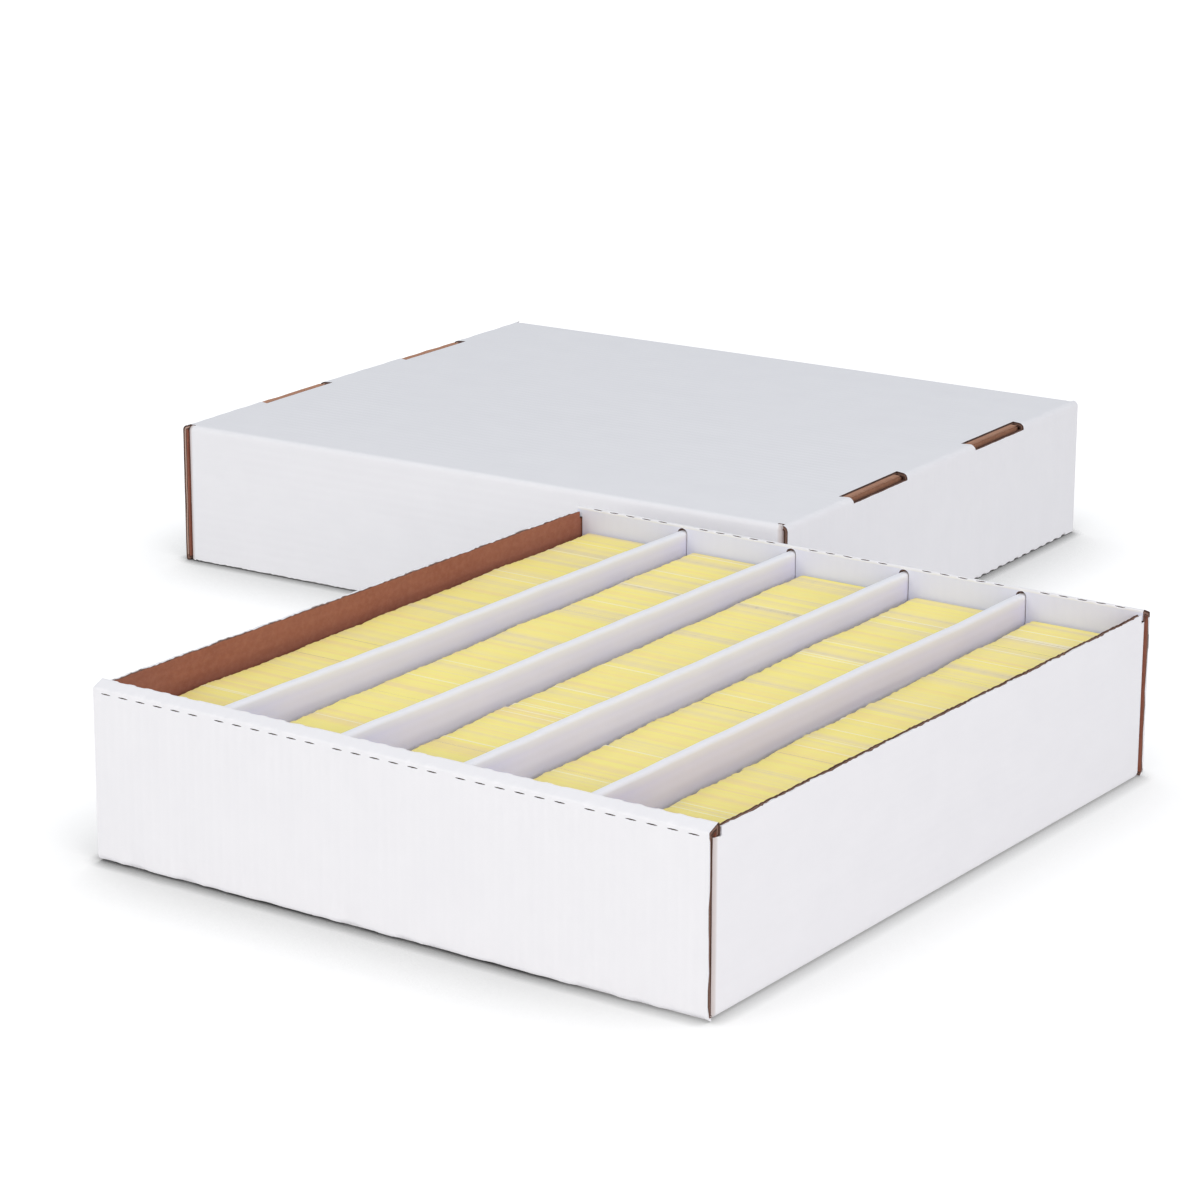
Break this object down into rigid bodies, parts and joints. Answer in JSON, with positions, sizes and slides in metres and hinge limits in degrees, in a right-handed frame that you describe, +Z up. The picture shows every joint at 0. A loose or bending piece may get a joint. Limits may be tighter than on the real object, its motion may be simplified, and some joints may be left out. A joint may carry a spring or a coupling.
{
  "type": "card storage box",
  "caption": "Corrugated board tray with rolled ends, a pleated row divider insert, leaning rows of trading cards and a full-depth lift-off lid standing beside it.",
  "frame": {"origin": "centre of the tray's underside", "axes": "+X across the rows, +Y along the rows towards the lid, +Z up"},
  "size_m": [0.7989, 0.9485, 0.1058],
  "materials": {
    "board": "matt white liner",
    "cards": "cut edges of coated card stock"
  },
  "bodies": {
    "tray": {"tray_floor": "board", "tray_right_wall": "board", "tray_left_wall": "board", "tray_back_outer_wall": "board", "tray_back_top_fold": "board", "tray_back_inner_wall": "board", "tray_corner_flap_back_right": "board", "tray_corner_flap_back_left": "board", "tray_front_outer_wall": "board", "tray_front_top_fold": "board", "tray_front_inner_wall": "board", "tray_corner_flap_front_right": "board", "tray_corner_flap_front_left": "board", "divider_1": "board", "divider_2": "board", "divider_3": "board", "divider_4": "board", "row_floor_1": "board", "row_floor_2": "board", "row_floor_3": "board", "row_floor_4": "board", "row_floor_5": "board"},
    "lid": {"lid_top": "board", "lid_front_wall": "board", "lid_back_wall": "board", "lid_left_outer_wall": "board", "lid_left_rim": "board", "lid_left_inner_wall": "board", "lid_corner_flap_left_front": "board", "lid_corner_flap_left_back": "board", "lid_right_outer_wall": "board", "lid_right_rim": "board", "lid_right_inner_wall": "board", "lid_corner_flap_right_front": "board", "lid_corner_flap_right_back": "board"},
    "cards_row_1": {"cards_row_1": "cards"},
    "cards_row_2": {"cards_row_2": "cards"},
    "cards_row_3": {"cards_row_3": "cards"},
    "cards_row_4": {"cards_row_4": "cards"},
    "cards_row_5": {"cards_row_5": "cards"}
  },
  "joints": [
    {"name": "lid_lift", "type": "slide", "parent": "tray", "child": "lid", "axis": [0, 0, 1], "range_m": [0, 0.12]},
    {"name": "row_1_lift", "type": "slide", "parent": "tray", "child": "cards_row_1", "axis": [0, 0, 1], "range_m": [0, 0.11]},
    {"name": "row_2_lift", "type": "slide", "parent": "tray", "child": "cards_row_2", "axis": [0, 0, 1], "range_m": [0, 0.11]},
    {"name": "row_3_lift", "type": "slide", "parent": "tray", "child": "cards_row_3", "axis": [0, 0, 1], "range_m": [0, 0.11]},
    {"name": "row_4_lift", "type": "slide", "parent": "tray", "child": "cards_row_4", "axis": [0, 0, 1], "range_m": [0, 0.11]},
    {"name": "row_5_lift", "type": "slide", "parent": "tray", "child": "cards_row_5", "axis": [0, 0, 1], "range_m": [0, 0.11]}
  ]
}
